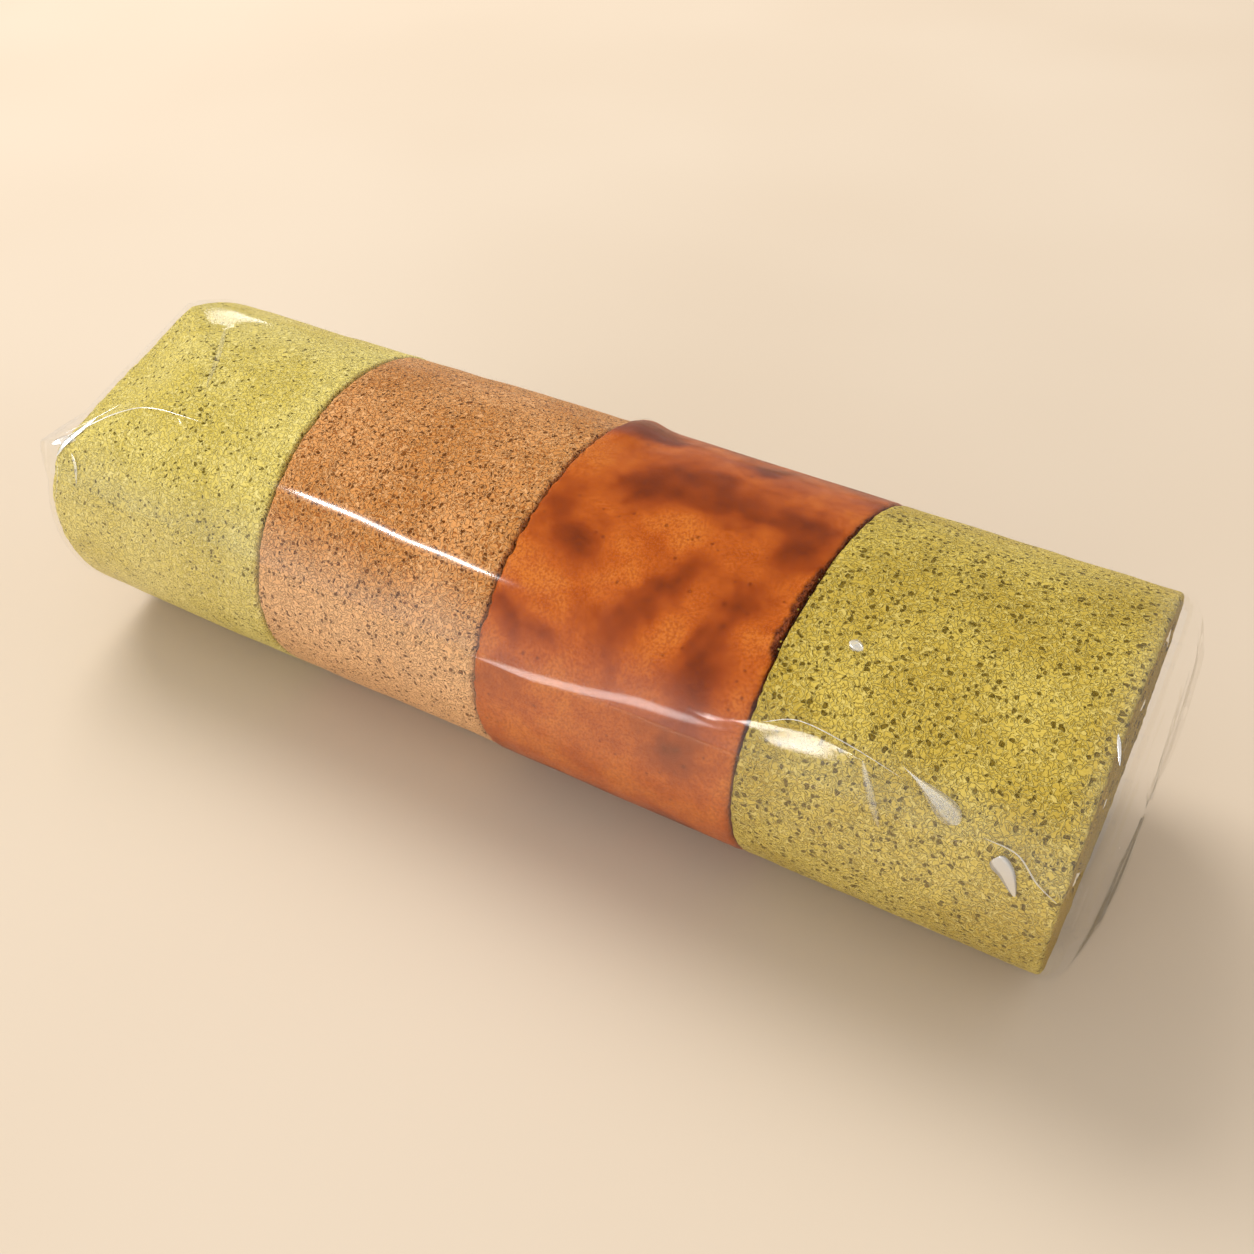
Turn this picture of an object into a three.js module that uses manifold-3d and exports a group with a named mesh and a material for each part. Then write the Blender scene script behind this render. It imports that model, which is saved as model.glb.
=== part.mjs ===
// A whole swiss roll cake in its clear wrap: four short rolls of sponge stand end to end as one
// log (matcha, coffee, tiger skin, matcha), one spiral of cream runs through them, and a thin
// clear film goes right round and closes over both cut ends.
// Millimetres. +X runs along the log to the right-hand end, +Y to the back, +Z up.
// The origin is under the middle of the log, on the surface that it rests on.
import * as THREE from "three";
import { mergeVertices } from "three/addons/utils/BufferGeometryUtils.js";
import Module from "manifold-3d";

const wasm = await Module();
wasm.setup();

// Driving sizes of the log.
const LOG_LENGTH = 280; // one side of a standard 28 cm baking tray
const HALF_WIDTH = 49.4;
const TOP_RISE = 38.7; // axis to the crown
const BOTTOM_DROP = 44.2; // axis to where the underside would be, were it not flattened
const FLAT_DROP = 41.1; // axis to the flat that the log rests on
const JOINT_GAP = 0.3; // between one short roll and the next
const EDGE_ROUND = 1.3; // how far a cut edge of sponge is rounded over
const EDGE_MIDDLE = 0.35; // where the rounding turns, as a share of its depth
const EDGE_STRETCH = 1.3; // the rounding's length along the log, as a share of its depth
const LEFT_TUCK = 2; // how far the left-hand cut is tucked in, all round
const LEFT_LEAN = 3; // how much further it leans in at the crown
const LEAN_START = 100; // where along the log the tuck and the lean begin
const LEAN_POWER = 6; // how suddenly they grow towards the cut

// The flat that the tight film presses into the left-hand shoulder.
const FLAT_ANGLE = -0.38; // its middle, from the crown towards the front
const FLAT_PRESS = 0.2; // its depth at the cut, as a share of the radius
const FLAT_REACH = 26; // how far along the log it runs before it dies out
const FLAT_FACING = 0.2; // the least that a place may face it, so that its far side stays round

// The clear film.
const FILM_THICKNESS = 0.5;
const FILM_GAP = 0.6; // air between film and sponge
const BASE_GAP = 0.3; // the same, underneath, where the log presses on the film
const FILM_MOUTH = 0.1; // the hole left where the pleats meet, as a share of the section
const FILM_GATHER_HEIGHT = 34; // height of that hole
const FILM_LEFT_SLACK = 1.24; // how much further the film runs past the left-hand cut
const PLEATS = 11;
const PLEAT_DEPTH = 0.9;
const PLEAT_GROWTH = 3; // how soon the pleats rise from the shoulder, and fall towards the mouth

// The rolled sheet, measured as shares of the section's half width.
const PITCH = 0.385; // one turn of sponge with its cream
const CREAM_THICKNESS = 0.1;
const CREAM_START = 0.1; // middle of the cream at the heart of the spiral
const CREAM_END = 0.915; // middle of the cream at the outer tail
const TAIL_ANGLE = Math.PI * 1.06; // the tail lies underneath, measured from the crown
const CREAM_CLEARANCE = 0.3;
const CREAM_TIP = 0.35; // how thick the strip is at its two ends, as a share of the rest
const CREAM_TIP_GROWTH = 0.25; // how much of its thickness it gains at each step from there
const OVERRUN = 10; // how much longer than the log the cream's prisms are, before they are cut

// Fineness of the facets.
const AROUND = 60;
const SPANS_A_ROLL = 3;
const STEPS_A_TURN = 32;

const BASE_HEIGHT = FILM_THICKNESS + BASE_GAP;
const AXIS_HEIGHT = BASE_HEIGHT + FLAT_DROP;
const CROWN_HEIGHT = AXIS_HEIGHT + TOP_RISE;

// The four short rolls from left to right. Swell is how much fuller one is than its neighbours.
const ROLLS = [
  { name: "matcha_roll_left", color: 0xb3a347, swell: 0.0 },
  { name: "coffee_roll", color: 0xb98552, swell: -0.004 },
  { name: "tiger_skin_roll", color: 0xb0602a, swell: 0.004 },
  { name: "matcha_roll_right", color: 0xa8963c, swell: 0.0 },
];

// Where one short roll meets the next, and how far the cut runs askew from the middle to a side.
const JOINTS = [
  { at: -69.4, skew: -3.2 },
  { at: 0.9, skew: 0 },
  { at: 70.8, skew: 2.2 },
];

// Hand-rolled unevenness of the sponge, as a share of the radius, at angle t and place x.
function unevenness(t, x) {
  const slow = 0.006 * Math.sin(2 * t + 0.6) * Math.cos(x / 61);
  const ripple = 0.004 * Math.sin(3 * t - x / 43);
  const sag = 0.003 * Math.cos(x / 27 + t);
  return slow + ripple + sag;
}

// How far the film presses the left-hand shoulder flat, as a share of the radius.
function pressedFlat(t, x) {
  const nearness = THREE.MathUtils.clamp(1 - (x + LOG_LENGTH / 2) / FLAT_REACH, 0, 1);
  const facing = Math.max(FLAT_FACING, Math.cos(t - FLAT_ANGLE));
  return Math.max(0, 1 - (1 - FLAT_PRESS * nearness) / facing);
}

// A point of the cross-section at angle t from the crown (towards +Y), grown outwards by grow.
function sectionPoint(t, x, grow, swell = 0, floor = BASE_HEIGHT) {
  const share = 1 + swell + unevenness(t, x) - pressedFlat(t, x);
  const rise = Math.cos(t) > 0 ? TOP_RISE : BOTTOM_DROP;
  const y = (HALF_WIDTH * share + grow) * Math.sin(t);
  const z = AXIS_HEIGHT + (rise * share + grow) * Math.cos(t);
  return new THREE.Vector3(x, y, Math.max(z, floor));
}

// The left-hand cut is tucked in and leans; both die out along the log.
function leaned(point) {
  const nearness = THREE.MathUtils.clamp((LEAN_START - point.x) / LOG_LENGTH, 0, 1);
  const height = THREE.MathUtils.clamp(point.z / CROWN_HEIGHT, 0, 1);
  point.x += (LEFT_TUCK + LEFT_LEAN * height) * nearness ** LEAN_POWER;
  return point;
}

function ring(x, grow, swell, floor, squeeze = 0) {
  return Array.from({ length: AROUND }, (_, i) => {
    const t = (i / AROUND) * 2 * Math.PI;
    return leaned(sectionPoint(t, x, grow - squeeze, swell, floor));
  });
}

// A closed skin over a row of rings. Open rows get a fan over each end; looped rows join up.
// Quads are split along the same diagonal whichever way the rows run, so that skins stay parallel.
function skin(rings, looped = false) {
  const around = rings[0].length;
  const points = rings.flat();
  const faces = [];
  const rows = looped ? rings.length : rings.length - 1;
  for (let r = 0; r < rows; r++) {
    const backwards = rings[(r + 1) % rings.length][0].x < rings[r][0].x;
    for (let i = 0; i < around; i++) {
      const a = r * around + i;
      const b = r * around + ((i + 1) % around);
      const c = ((r + 1) % rings.length) * around + i;
      const d = ((r + 1) % rings.length) * around + ((i + 1) % around);
      faces.push(...(backwards ? [a, c, b, b, c, d] : [a, d, b, a, c, d]));
    }
  }
  if (!looped) {
    for (const [row, turned] of [[0, true], [rings.length - 1, false]]) {
      const heart = rings[row].reduce((sum, p) => sum.add(p), new THREE.Vector3());
      const hub = points.push(heart.divideScalar(around)) - 1;
      for (let i = 0; i < around; i++) {
        const a = row * around + i;
        const b = row * around + ((i + 1) % around);
        faces.push(...(turned ? [hub, a, b] : [hub, b, a]));
      }
    }
  }
  const geometry = new THREE.BufferGeometry().setFromPoints(points);
  geometry.setIndex(faces);
  return geometry;
}

function toSolid(geometry) {
  const bare = geometry.clone();
  bare.deleteAttribute("normal");
  bare.deleteAttribute("uv");
  const merged = mergeVertices(bare, 1e-3);
  return new wasm.Manifold(
    new wasm.Mesh({
      numProp: 3,
      vertProperties: new Float32Array(merged.attributes.position.array),
      triVerts: new Uint32Array(merged.index.array),
    }),
  );
}

function toGeometry(solid) {
  const mesh = solid.getMesh();
  const geometry = new THREE.BufferGeometry();
  geometry.setAttribute("position", new THREE.BufferAttribute(mesh.vertProperties, 3));
  geometry.setIndex(new THREE.BufferAttribute(mesh.triVerts, 1));
  geometry.computeVertexNormals();
  return geometry;
}

function named(name, geometry, look) {
  const mesh = new THREE.Mesh(geometry, new THREE.MeshStandardMaterial(look));
  mesh.name = name;
  return mesh;
}

// A point of the spiral: share of the way from the axis to the mean outline, at angle t.
function spiralPoint(share, t) {
  const rise = Math.cos(t) > 0 ? TOP_RISE : FLAT_DROP;
  return new THREE.Vector2(HALF_WIDTH * share * Math.sin(t), rise * share * Math.cos(t));
}

// The outline of the cream strip, fattened by extra millimetres all round.
function creamOutline(extra) {
  const turns = (CREAM_END - CREAM_START) / PITCH;
  const steps = Math.round(turns * STEPS_A_TURN);
  const overrun = extra / HALF_WIDTH;
  const outer = [];
  const inner = [];
  for (let i = 0; i <= steps; i++) {
    const along = i / steps;
    const end = Math.min(along, 1 - along) * steps;
    const taper = Math.min(1, CREAM_TIP + CREAM_TIP_GROWTH * end);
    const middle = THREE.MathUtils.lerp(CREAM_START - overrun, CREAM_END + overrun, along);
    const t = TAIL_ANGLE - (1 - along) * turns * 2 * Math.PI;
    const half = (CREAM_THICKNESS / 2) * taper + overrun;
    outer.push(spiralPoint(middle + half, t));
    inner.push(spiralPoint(middle - half, t));
  }
  if (extra > 0) {
    const slip = extra / (HALF_WIDTH * CREAM_END);
    const tip = TAIL_ANGLE + 2 * slip;
    outer.push(spiralPoint(CREAM_END + overrun, tip));
    const start = TAIL_ANGLE - turns * 2 * Math.PI - (2 * extra) / (HALF_WIDTH * CREAM_START);
    inner.unshift(spiralPoint(CREAM_START - overrun, start));
  }
  return new THREE.Shape([...outer, ...inner.reverse()]);
}

// A prism of a shape drawn in the Y-Z plane about the log's axis, centred along X.
function prism(shape, length) {
  const geometry = new THREE.ExtrudeGeometry(shape, { depth: length, bevelEnabled: false });
  const stand = new THREE.Matrix4().makeBasis(
    new THREE.Vector3(0, 1, 0),
    new THREE.Vector3(0, 0, 1),
    new THREE.Vector3(1, 0, 0),
  );
  geometry.translate(0, 0, -length / 2);
  geometry.applyMatrix4(stand);
  geometry.translate(0, 0, AXIS_HEIGHT);
  return geometry;
}

// One short roll of sponge between two cuts, with the spiral slot for the cream cut through it.
function spongeRoll(left, right, swell, slot) {
  const length = right.at - left.at;
  const stations = [
    { along: 0, squeeze: EDGE_ROUND },
    { along: EDGE_ROUND * EDGE_MIDDLE, squeeze: EDGE_ROUND * EDGE_MIDDLE },
    { along: EDGE_ROUND * EDGE_STRETCH, squeeze: 0 },
    { along: length / SPANS_A_ROLL, squeeze: 0 },
    { along: length - length / SPANS_A_ROLL, squeeze: 0 },
    { along: length - EDGE_ROUND * EDGE_STRETCH, squeeze: 0 },
    { along: length - EDGE_ROUND * EDGE_MIDDLE, squeeze: EDGE_ROUND * EDGE_MIDDLE },
    { along: length, squeeze: EDGE_ROUND },
  ];
  const rings = stations.map(({ along, squeeze }) => {
    const skew = THREE.MathUtils.lerp(left.skew, right.skew, along / length);
    const row = ring(left.at + along, 0, swell, BASE_HEIGHT, squeeze);
    row.forEach((point) => (point.x += (skew * point.y) / HALF_WIDTH));
    return row;
  });
  return toSolid(skin(rings)).subtract(slot);
}

// The film's outline over an end: share of the section left, against distance past the cut.
const END_FOLD = [
  { past: 1.0, share: 1.0 },
  { past: 3.2, share: 0.975 },
  { past: 5.6, share: 0.9 },
  { past: 7.2, share: 0.74 },
  { past: 8.0, share: 0.5 },
  { past: 8.3, share: 0.26 },
  { past: 8.4, share: FILM_MOUTH },
];

// One ring of film past an end. side is -1 at the left and 1 at the right.
function endRing(side, { past, share }, inside) {
  const grow = FILM_GAP + (inside ? 0 : FILM_THICKNESS);
  const floor = inside ? FILM_THICKNESS : 0;
  const reach = side < 0 ? past * FILM_LEFT_SLACK : past;
  const edge = ring(side * (LOG_LENGTH / 2 + reach), grow, 0, floor);
  const rising = Math.min(1, (1 - share) * PLEAT_GROWTH);
  const falling = Math.min(1, share * PLEAT_GROWTH);
  return edge.map((point, i) => {
    const t = (i / AROUND) * 2 * Math.PI;
    const pleat = PLEAT_DEPTH * rising * falling * Math.cos(PLEATS * t);
    const wall = inside ? FILM_THICKNESS * (1 - share) : 0;
    return new THREE.Vector3(
      point.x + side * (pleat - wall),
      point.y * share,
      THREE.MathUtils.lerp(FILM_GATHER_HEIGHT, point.z, share),
    );
  });
}

// The film as a thin closed wall: out along the outside, and back along the inside.
function clearWrap() {
  const spans = SPANS_A_ROLL * ROLLS.length;
  const along = Array.from({ length: spans + 1 }, (_, i) => LOG_LENGTH * (i / spans - 0.5));
  along.splice(1, 0, -LOG_LENGTH / 2 + EDGE_ROUND * EDGE_STRETCH);
  const wall = (inside) => [
    ...END_FOLD.map((fold) => endRing(-1, fold, inside)).reverse(),
    ...along.map((x) =>
      ring(x, FILM_GAP + (inside ? 0 : FILM_THICKNESS), 0, inside ? FILM_THICKNESS : 0),
    ),
    ...END_FOLD.map((fold) => endRing(1, fold, inside)),
  ];
  return skin([...wall(false), ...wall(true).reverse()], true);
}

const cake = new THREE.Group();

const slot = toSolid(prism(creamOutline(CREAM_CLEARANCE), LOG_LENGTH + 2 * OVERRUN));
const cuts = [{ at: -LOG_LENGTH / 2, skew: 0 }, ...JOINTS, { at: LOG_LENGTH / 2, skew: 0 }];
ROLLS.forEach(({ name, color, swell }, i) => {
  const left = { ...cuts[i], at: cuts[i].at + (i > 0 ? JOINT_GAP : 0) };
  const solid = spongeRoll(left, cuts[i + 1], swell, slot);
  cake.add(named(name, toGeometry(solid), { color, roughness: 0.9, metalness: 0 }));
});

const wholeLog = toSolid(
  skin([-LOG_LENGTH / 2, 0, LOG_LENGTH / 2].map((x) => ring(x, 0, 0, BASE_HEIGHT))),
);
const cream = toSolid(prism(creamOutline(0), LOG_LENGTH + OVERRUN)).intersect(wholeLog);
const creamLook = { color: 0xf4ead2, roughness: 0.6, metalness: 0 };
cake.add(named("cream_filling", toGeometry(cream), creamLook));

const filmLook = { color: 0xffffff, roughness: 0.05, metalness: 0, transparent: true, opacity: 0.2 };
cake.add(named("clear_wrap", clearWrap(), filmLook));

export default cake;
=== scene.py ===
"""A swiss roll cake in its clear wrap: four rolls of sponge in a row round a spiral of cream."""

from __future__ import annotations

import logging
import math
from dataclasses import dataclass, field
from enum import Enum
from functools import cache

import bmesh
import bpy
import numpy as np
from mathutils import Matrix, Vector, noise


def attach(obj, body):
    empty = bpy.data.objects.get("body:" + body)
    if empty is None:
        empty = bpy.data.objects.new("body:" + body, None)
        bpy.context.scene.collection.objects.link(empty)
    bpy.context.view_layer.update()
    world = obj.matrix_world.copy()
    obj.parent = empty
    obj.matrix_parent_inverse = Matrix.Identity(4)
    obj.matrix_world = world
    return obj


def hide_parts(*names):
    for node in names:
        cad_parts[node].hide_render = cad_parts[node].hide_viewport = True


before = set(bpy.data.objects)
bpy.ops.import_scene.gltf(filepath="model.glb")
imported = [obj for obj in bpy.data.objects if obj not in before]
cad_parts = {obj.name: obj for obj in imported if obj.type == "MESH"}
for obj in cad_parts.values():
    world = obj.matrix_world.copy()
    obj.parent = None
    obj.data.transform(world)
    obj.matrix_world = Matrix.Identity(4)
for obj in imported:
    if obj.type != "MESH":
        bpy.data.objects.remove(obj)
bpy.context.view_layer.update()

LOG = logging.getLogger("swiss_roll")
MM = 0.001
TURN = 2.0 * math.pi

# The log, in millimetres, as in the part's source.
LOG_LENGTH = 280.0
HALF_WIDTH = 49.4
TOP_RISE = 38.7
BOTTOM_DROP = 44.2
FLAT_DROP = 41.1
BASE_HEIGHT = 0.8
AXIS_HEIGHT = BASE_HEIGHT + FLAT_DROP
CROWN_HEIGHT = AXIS_HEIGHT + TOP_RISE
LEFT_TUCK = 2.0
LEFT_LEAN = 3.0
LEAN_START = 100.0
LEAN_POWER = 6
FLAT_ANGLE = -0.38
FLAT_PRESS = 0.2
FLAT_REACH = 26.0
FLAT_FACING = 0.2
JOINT_GAP = 0.3

# For patterns laid round the log: the mean radius of its outline, and of a ring just inside it.
MEAN_RADIUS = 44.0
RING_RADIUS = 40.0

# The rolled sheet, as shares of the half width.
PITCH = 0.385
CREAM_THICKNESS = 0.1
CREAM_START = 0.1
CREAM_END = 0.915
TAIL_ANGLE = math.pi * 1.06
SPIRAL_TURNS = (CREAM_END - CREAM_START) / PITCH

# The camera, measured in the photograph, whose frame is square.
PHOTO_WIDTH_PX = 1254.0
FOCAL_PX = 1338.5
SENSOR_MM = 36.0
CAMERA_MM = (148.2, -228.7, 260.4)
CAMERA_AXES = (
    (0.8659, -0.3243, 0.3808),
    (0.5001, 0.5698, -0.6520),
    (-0.0055, 0.7551, 0.6556),
)


class Side(Enum):
    """Which end of a roll or of the log is meant."""

    LEFT = -1
    RIGHT = 1


class Surface(Enum):
    """Which kind of surface a roll shows round its outside."""

    POROUS = "porous"
    SKIN = "skin"


def bell(distance: np.ndarray | float, width: float) -> np.ndarray | float:
    """A smooth bump of height one that has died out at about two widths.

    Args:
        distance: Distance from the middle of the bump.
        width: The bump's half width, in the same unit.

    Returns:
        The bump's height at that distance.
    """
    return np.exp(-np.square(np.asarray(distance) / width))


def ramp(value: np.ndarray, low: float, high: float) -> np.ndarray:
    """Rise smoothly from nought at low to one at high.

    Args:
        value: The values to map.
        low: Where the rise starts.
        high: Where the rise ends.

    Returns:
        The mapped values, between nought and one.
    """
    share = np.clip((value - low) / (high - low), 0.0, 1.0)
    return share * share * (3.0 - 2.0 * share)


def grain(points: np.ndarray, size: float, seed: float) -> np.ndarray:
    """Smooth random values over a field of points.

    Args:
        points: Points in millimetres, with x, y, z last.
        size: The rough size of one lump, in millimetres.
        seed: Shifts the pattern, so that no two look alike.

    Returns:
        One value for each point, between about minus one and one.
    """
    flat = points.reshape(-1, 3) / size + seed
    values = [noise.noise(Vector(point)) for point in flat]
    return np.array(values).reshape(points.shape[:-1])


def ring_grain(t: np.ndarray, x: float, size: float, seed: float) -> np.ndarray:
    """Smooth random values round one ring of the log.

    Args:
        t: Angles round the ring.
        x: The ring's place along the log, in millimetres.
        size: The rough size of one lump, in millimetres.
        seed: Shifts the pattern.

    Returns:
        One value for each angle, between about minus one and one.
    """
    ring = np.stack([RING_RADIUS * np.sin(t), RING_RADIUS * np.cos(t), np.full_like(t, x)], axis=-1)
    return grain(ring, size, seed)


@dataclass(frozen=True)
class Section:
    """The log's cross-section: an upright egg that has sagged flat underneath."""

    corner_softness: float = 1.6
    flat_softness: float = 0.006

    def unevenness(self, t: np.ndarray, x: np.ndarray) -> np.ndarray:
        """Hand-rolled unevenness, as a share of the radius."""
        slow = 0.006 * np.sin(2 * t + 0.6) * np.cos(x / 61)
        ripple = 0.004 * np.sin(3 * t - x / 43)
        sag = 0.003 * np.cos(x / 27 + t)
        return slow + ripple + sag

    def pressed_flat(self, t: np.ndarray, x: np.ndarray) -> np.ndarray:
        """How far the film presses the left-hand shoulder flat, as a share of the radius."""
        nearness = np.clip(1 - (x + LOG_LENGTH / 2) / FLAT_REACH, 0, 1)
        facing = np.maximum(FLAT_FACING, np.cos(t - FLAT_ANGLE))
        press = 1 - (1 - FLAT_PRESS * nearness) / facing
        soft = self.flat_softness
        return soft * np.logaddexp(0.0, press / soft)

    def place(
        self,
        t: np.ndarray,
        x: np.ndarray,
        grow: np.ndarray | float = 0.0,
        swell: float = 0.0,
        floor: float = BASE_HEIGHT,
    ) -> np.ndarray:
        """Find points of the outline.

        Args:
            t: Angle from the crown towards the back, in radians.
            x: Place along the log, in millimetres.
            grow: Millimetres outside the sponge's outline.
            swell: How much fuller this stretch is, as a share of the radius.
            floor: The lowest height that the outline reaches.

        Returns:
            Points in millimetres, with x, y, z last.
        """
        t, x = np.broadcast_arrays(np.asarray(t, float), np.asarray(x, float))
        share = 1 + swell + self.unevenness(t, x) - self.pressed_flat(t, x)
        rise = np.where(np.cos(t) > 0, TOP_RISE, BOTTOM_DROP)
        y = (HALF_WIDTH * share + grow) * np.sin(t)
        z = AXIS_HEIGHT + (rise * share + grow) * np.cos(t)
        soft = self.corner_softness
        z = floor + soft * np.logaddexp(0.0, (z - floor) / soft) - soft * math.log(2.0)
        z = np.maximum(z, floor)
        height = np.clip(z / CROWN_HEIGHT, 0, 1)
        nearness = np.clip((LEAN_START - x) / LOG_LENGTH, 0, 1)
        shift = (LEFT_TUCK + LEFT_LEAN * height) * nearness**LEAN_POWER
        return np.stack([x + shift, y, z], axis=-1)

    def even_angles(self, count: int) -> np.ndarray:
        """Angles that cut the outline into stretches of equal length.

        Args:
            count: How many stretches to cut.

        Returns:
            The angles from minus pi to pi, count plus one of them.
        """
        fine = np.linspace(-math.pi, math.pi, 4001)
        points = self.place(fine, np.zeros_like(fine))
        steps = np.linalg.norm(np.diff(points, axis=0), axis=1)
        length = np.concatenate([[0.0], np.cumsum(steps)])
        return np.interp(np.linspace(0, length[-1], count + 1), length, fine)


SECTION = Section()


def placed(name: str, data: bpy.types.ID) -> bpy.types.Object:
    """Put a mesh, a lamp or a camera in the scene as a new object."""
    thing = bpy.data.objects.new(name, data)
    bpy.context.scene.collection.objects.link(thing)
    return thing


def smoothed(bm: bmesh.types.BMesh, mesh: bpy.types.Mesh) -> bpy.types.Object:
    """Store a bmesh in a mesh, shade it smooth, and put it in the scene.

    Args:
        bm: The finished shape, which is freed.
        mesh: Takes the shape, and gives the object its name.

    Returns:
        The new object.
    """
    for face in bm.faces:
        face.smooth = True
    bm.to_mesh(mesh)
    bm.free()
    return placed(mesh.name, mesh)


def wrapped(
    name: str, points: np.ndarray, values: dict[str, np.ndarray], poles: bool = True
) -> bpy.types.Object:
    """Wrap a flat grid into a closed skin over a field of points.

    Args:
        name: The piece's name.
        points: Points in millimetres for each row and column. The last column meets the first.
        values: Named values for each row and column, kept as attributes.
        poles: Whether the first and the last row each shrink to one point.

    Returns:
        The finished object.
    """
    points[:, -1] = points[:, 0]
    if poles:
        points[0] = points[0].mean(axis=0)
        points[-1] = points[-1].mean(axis=0)
    rows, columns = points.shape[0] - 1, points.shape[1] - 1
    mesh = bpy.data.meshes.new(name)
    bm = bmesh.new()
    bmesh.ops.create_grid(bm, x_segments=columns, y_segments=rows, size=1.0)
    bm.to_mesh(mesh)
    bm.free()
    flat = np.empty(len(mesh.vertices) * 3)
    mesh.vertices.foreach_get("co", flat)
    across, up = (flat.reshape(-1, 3)[:, :2].T + 1) / 2
    row, column = np.rint(up * rows).astype(int), np.rint(across * columns).astype(int)
    mesh.vertices.foreach_set("co", (points[row, column] * MM).ravel())
    for key, value in values.items():
        layer = mesh.attributes.new(key, "FLOAT", "POINT")
        layer.data.foreach_set("value", value[row, column].ravel())
    bm = bmesh.new()
    bm.from_mesh(mesh)
    bmesh.ops.remove_doubles(bm, verts=bm.verts[:], dist=1e-6)
    bmesh.ops.dissolve_degenerate(bm, edges=bm.edges[:], dist=1e-7)
    bmesh.ops.recalc_face_normals(bm, faces=bm.faces[:])
    return smoothed(bm, mesh)


def outward(points: np.ndarray) -> np.ndarray:
    """Unit normals of a wrapped field of points, which point away from its inside.

    Args:
        points: Points for each row and column, whose first and last columns meet.

    Returns:
        A unit vector for each point.
    """
    looped = np.concatenate([points[:, -2:-1], points, points[:, 1:2]], axis=1)
    along_row = (looped[:, 2:] - looped[:, :-2]) / 2
    across = np.gradient(points, axis=0)
    normal = np.cross(across, along_row)
    length = np.linalg.norm(normal, axis=-1, keepdims=True)
    return normal / np.maximum(length, 1e-9)


PIT_REACH = 4  # rows and columns of the skin that one pore can touch, each way


@dataclass
class Relief:
    """Hollows pressed into one roll's skin, with the painted shade round them and along creases, before
    it is wrapped.
    """

    points: np.ndarray
    pit_edge: float = 1.25
    pit_steepness: float = 0.8
    shade_edge: float = 1.3
    depth: np.ndarray = field(init=False)
    pore: np.ndarray = field(init=False)

    def __post_init__(self) -> None:
        """Start with nothing pressed in."""
        self.depth = np.zeros(self.points.shape[:-1])
        self.pore = np.zeros(self.points.shape[:-1])

    def pit(self, row: int, column: int, radius: float, depth: float, stretch: float) -> None:
        """Press one open pore into the skin, with painted shade round it.

        Args:
            row: The row of its middle.
            column: The column of its middle.
            radius: Its radius in millimetres.
            depth: Its depth in millimetres.
            stretch: How many times longer it is along the log than round it.
        """
        rows = np.arange(max(row - PIT_REACH, 0), min(row + PIT_REACH + 1, self.depth.shape[0]))
        columns = np.arange(column - PIT_REACH, column + PIT_REACH + 1) % (self.depth.shape[1] - 1)
        window = np.ix_(rows, columns)
        away = self.points[window] - self.points[row, column]
        away[..., 0] /= stretch
        distance = np.linalg.norm(away, axis=-1) / radius
        hollow = np.clip(self.pit_edge - distance, 0, 1) ** self.pit_steepness
        shaded = np.clip(self.shade_edge - distance, 0, 1)
        self.depth[window] = np.maximum(self.depth[window], depth * hollow)
        self.pore[window] = np.maximum(self.pore[window], shaded)

    def close(self) -> None:
        """Make the last column equal the first, where the grid's seam is."""
        self.depth[:, -1] = self.depth[:, 0]
        self.pore[:, -1] = self.pore[:, 0]


def spiral_distance(y: np.ndarray, z: np.ndarray) -> np.ndarray:
    """How far points of a cut face lie from the middle of the cream.

    Args:
        y: Places across the face, in millimetres.
        z: Heights above the axis, in millimetres.

    Returns:
        Distances in millimetres, measured along the radius.
    """
    rise = np.where(z > 0, TOP_RISE, FLAT_DROP)
    share = np.hypot(y / HALF_WIDTH, z / rise)
    angle = np.arctan2(y / HALF_WIDTH, z / rise)
    nearest = np.full(share.shape, np.inf)
    for lap in range(-4, 3):
        along = 1 - (TAIL_ANGLE - (angle + lap * TURN)) / (SPIRAL_TURNS * TURN)
        middle = CREAM_START + (CREAM_END - CREAM_START) * along
        overrun = np.maximum(0, np.maximum(-along, along - 1)) * SPIRAL_TURNS * TURN * share
        nearest = np.minimum(nearest, np.hypot(share - middle, overrun))
    return nearest * HALF_WIDTH


@dataclass(frozen=True)
class Cut:
    """A knife cut across the log: its place, how far askew it runs, and how ragged it is."""

    at: float
    skew: float
    ragged: float
    exposed: bool

    def ragged_edge(self, t: np.ndarray, seed: float) -> np.ndarray:
        """How far the edge has crumbled back from the cut, at each angle.

        Args:
            t: Angles round the outline.
            seed: Shifts the pattern.

        Returns:
            Distances in millimetres.
        """
        coarse = ramp(ring_grain(t, self.at, 3.1, seed), -0.25, 0.55)
        fine = ramp(ring_grain(t, self.at, 1.3, seed + 7), -0.3, 0.6)
        return self.ragged * (0.6 * coarse + 0.4 * fine)


@dataclass(frozen=True)
class Tear:
    """A stretch of a tiger skin's edge that has torn back from the cut."""

    start: float = math.radians(-41)
    end: float = math.radians(-4)
    width: float = 1.45
    depth: float = 0.45
    lip: float = 0.2
    lip_from: float = 0.6

    def reach(self, t: np.ndarray) -> np.ndarray:
        """How far back from the cut the skin is torn, in millimetres."""
        inside = ramp(t, self.start - 0.05, self.start + 0.08) * (1 - ramp(t, self.end - 0.3, self.end))
        shreds = 0.8 * ring_grain(t, 0.0, 3.4, 3.0) + 0.6 * ring_grain(t, 0.0, 1.3, 9.0)
        hairline = ramp(t, self.end - 0.1, self.end) * (1 - ramp(t, self.end + 0.3, self.end + 0.45))
        return np.maximum(0.08 * shreds + 0.2 * hairline, inside * (self.width + 1.2 * shreds))


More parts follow.
